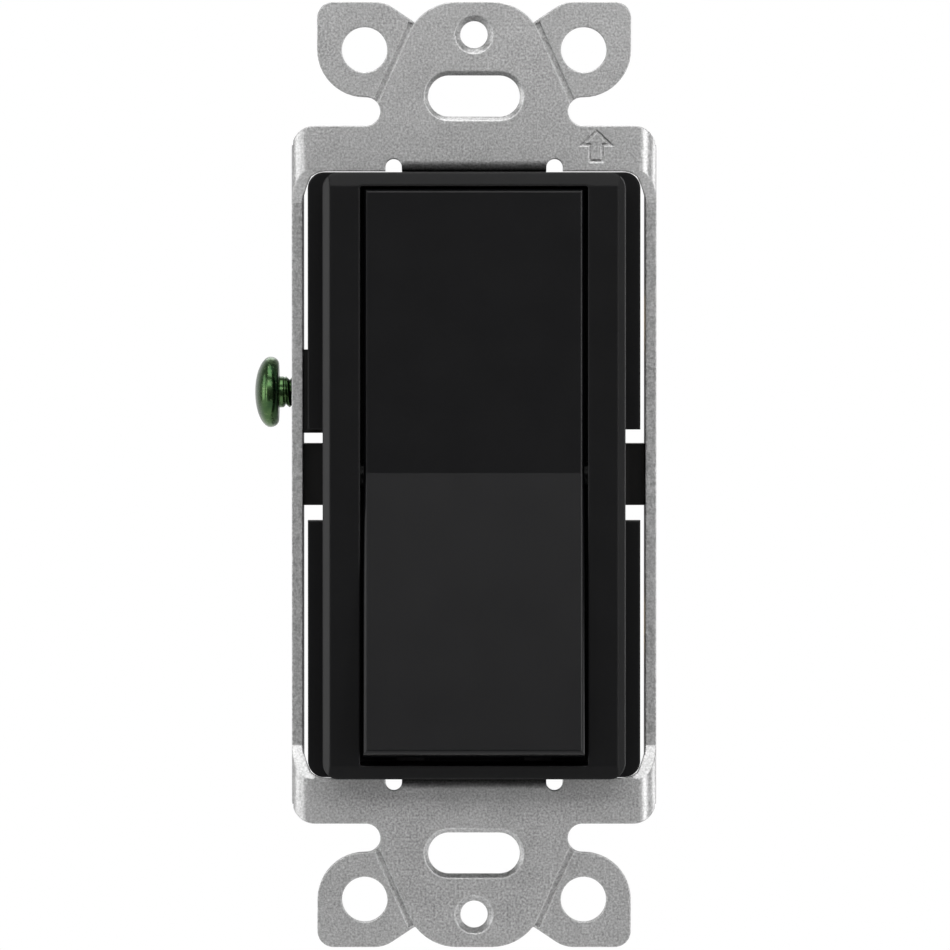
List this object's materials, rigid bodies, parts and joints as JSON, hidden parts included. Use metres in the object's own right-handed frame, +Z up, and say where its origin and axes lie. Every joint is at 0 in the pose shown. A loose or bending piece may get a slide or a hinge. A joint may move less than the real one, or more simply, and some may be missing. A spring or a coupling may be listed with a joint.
{
  "type": "rocker wall switch",
  "caption": "Decorator-style rocker wall switch: black paddle in a raised frame on a stamped steel strap, with a boxed contact housing behind and a green ground screw.",
  "frame": {"origin": "midway between the two tapped plate-screw holes, on the strap's back face", "axes": "+Z up, +X right seen from the front, the front faces -Y and the wall box is towards +Y"},
  "size_m": [0.0443, 0.0367, 0.104],
  "materials": {
    "strap_steel": "satin zinc-plated, fine grain",
    "frame_plastic": "satin black thermoplastic",
    "paddle_plastic": "satin black thermoplastic",
    "inner_plastic": "moulded black thermoplastic",
    "housing_plastic": "moulded black thermoplastic",
    "pad_rubber": "soft pad",
    "zinc_steel": "zinc plated",
    "spring_steel": "spring steel",
    "brass": "stamped brass",
    "brass_screw": "brass screw",
    "contact_silver": "silver alloy",
    "green_screw": "green dyed zinc plating"
  },
  "bodies": {
    "root": {"yoke": "strap_steel", "front_frame": "frame_plastic", "mid_plate": "inner_plastic", "bumper_pads": "pad_rubber", "rear_housing": "housing_plastic", "housing_screws": "zinc_steel", "fixed_contact": "contact_silver", "load_terminal": "brass", "common_terminal": "brass", "wire_spring_upper": "spring_steel", "wire_spring_lower": "spring_steel"},
    "paddle": {"rocker_paddle": "paddle_plastic", "toggle_spring": "spring_steel", "spring_plunger": "inner_plastic"},
    "arm": {"contact_arm": "brass", "moving_contact": "contact_silver"},
    "clamp_upper": {"clamp_plate_upper": "zinc_steel"},
    "screw_upper": {"terminal_screw_upper": "brass_screw"},
    "clamp_lower": {"clamp_plate_lower": "zinc_steel"},
    "screw_lower": {"terminal_screw_lower": "brass_screw"},
    "ground": {"ground_screw": "green_screw"}
  },
  "joints": [
    {"name": "rocker_tilt", "type": "hinge", "parent": "root", "child": "paddle", "pos_m": [0, -0.0015, 0], "axis": [1, 0, 0], "range_deg": [0, 7]},
    {"name": "contact_tilt", "type": "hinge", "parent": "root", "child": "arm", "pos_m": [0, 0.019, 0], "axis": [1, 0, 0], "range_deg": [-21, 0]},
    {"name": "ground_screw_travel", "type": "slide", "parent": "root", "child": "ground", "axis": [-1, 0, 0], "range_m": [-0.0014, 0.0012]},
    {"name": "clamp_upper_slide", "type": "slide", "parent": "root", "child": "clamp_upper", "axis": [1, 0, 0], "range_m": [0, 0.00238]},
    {"name": "screw_upper_turn", "type": "hinge", "parent": "clamp_upper", "child": "screw_upper", "pos_m": [0.0135, 0.015, 0.017], "axis": [1, 0, 0], "range_deg": [0, 1080]},
    {"name": "clamp_lower_slide", "type": "slide", "parent": "root", "child": "clamp_lower", "axis": [1, 0, 0], "range_m": [0, 0.00238]},
    {"name": "screw_lower_turn", "type": "hinge", "parent": "clamp_lower", "child": "screw_lower", "pos_m": [0.0135, 0.015, -0.017], "axis": [1, 0, 0], "range_deg": [0, 1080]}
  ],
  "couplings": [
    {"joint": "contact_tilt", "follows": "rocker_tilt", "ratio": -3},
    {"joint": "screw_upper_turn", "follows": "clamp_upper_slide", "rad_per_m": 7915.8},
    {"joint": "screw_lower_turn", "follows": "clamp_lower_slide", "rad_per_m": 7915.8}
  ]
}
